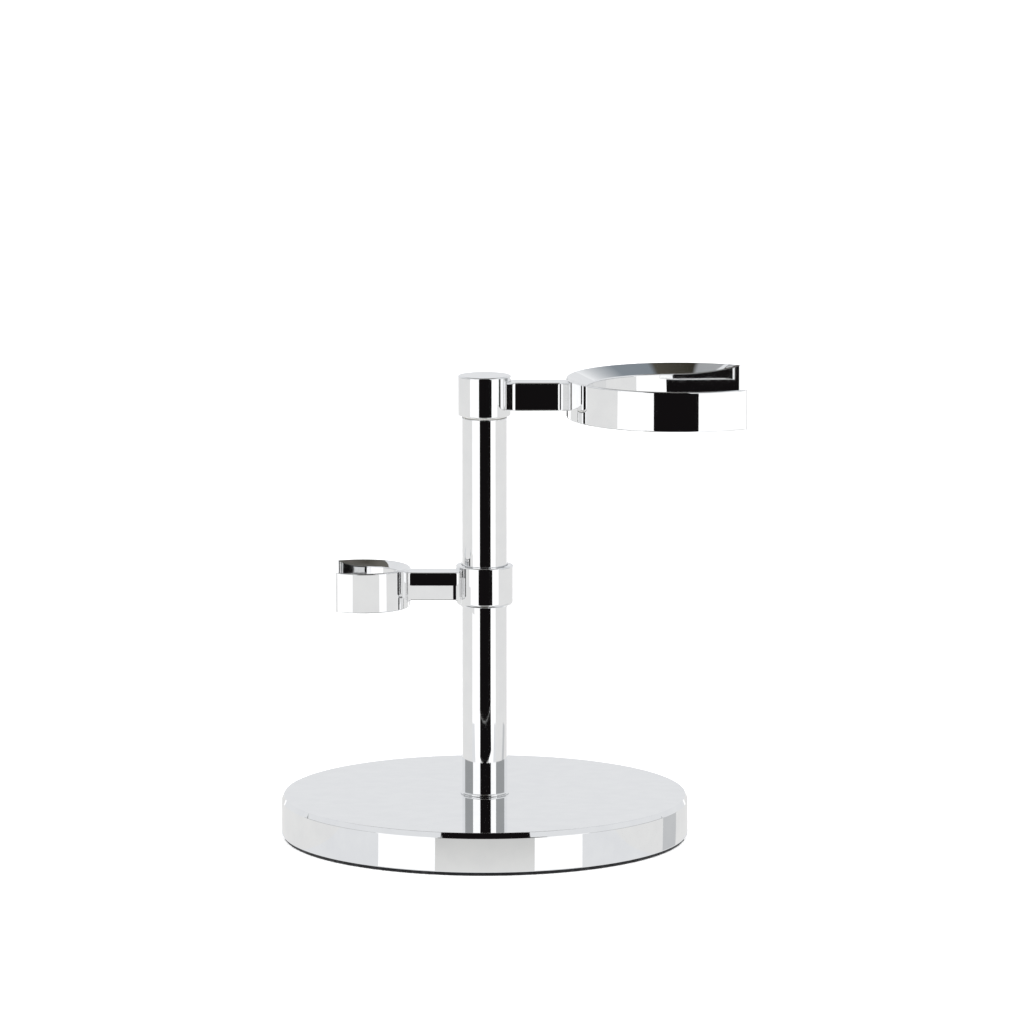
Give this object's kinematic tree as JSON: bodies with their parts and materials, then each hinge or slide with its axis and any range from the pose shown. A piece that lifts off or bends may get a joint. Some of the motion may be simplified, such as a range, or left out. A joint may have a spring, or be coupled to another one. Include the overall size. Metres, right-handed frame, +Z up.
{
  "type": "shaving brush and razor stand",
  "caption": "Chrome shaving stand: disc base, upright post, a swivelling open holder for a brush on top and a sliding open holder for a razor lower down.",
  "frame": {"origin": "centre of the underside of the foot pad, on the post's axis", "axes": "+Z up along the post, +X along the brush arm, -X along the razor arm"},
  "size_m": [0.1022, 0.09, 0.1028],
  "materials": {
    "chrome_plate": "polished",
    "zinc_steel": "satin",
    "plug_brass": "satin",
    "nylon": "matte",
    "felt_pad": "matte"
  },
  "bodies": {
    "stand": {"base_pad": "felt_pad", "base_plate": "chrome_plate", "base_lock_washer": "zinc_steel", "base_screw": "zinc_steel", "foot_ring": "chrome_plate", "post_tube": "chrome_plate", "post_lower_plug": "plug_brass", "post_upper_plug": "plug_brass", "hub_pivot_pin": "zinc_steel", "hub_friction_washer": "nylon"},
    "brush_arm": {"brush_hub": "chrome_plate", "hub_set_screw": "zinc_steel", "brush_arm_stud": "zinc_steel", "brush_arm_bar": "chrome_plate", "brush_holder": "chrome_plate", "brush_holder_screw": "zinc_steel"},
    "collar_slide": {"collar_liner": "nylon"},
    "razor_arm": {"razor_collar": "chrome_plate", "razor_drag_pin": "nylon", "razor_arm_stud": "zinc_steel", "razor_arm_bar": "chrome_plate", "razor_holder": "chrome_plate", "razor_holder_screw": "zinc_steel"}
  },
  "joints": [
    {"name": "brush_arm_swivel", "type": "hinge", "parent": "stand", "child": "brush_arm", "pos_m": [0, 0, 0.098], "axis": [0, 0, 1], "continuous": true},
    {"name": "razor_arm_lift", "type": "slide", "parent": "stand", "child": "collar_slide", "axis": [0, 0, 1], "range_m": [-0.041, 0.032]},
    {"name": "razor_arm_swivel", "type": "hinge", "parent": "collar_slide", "child": "razor_arm", "pos_m": [0, 0, 0.05625], "axis": [0, 0, 1], "continuous": true}
  ]
}
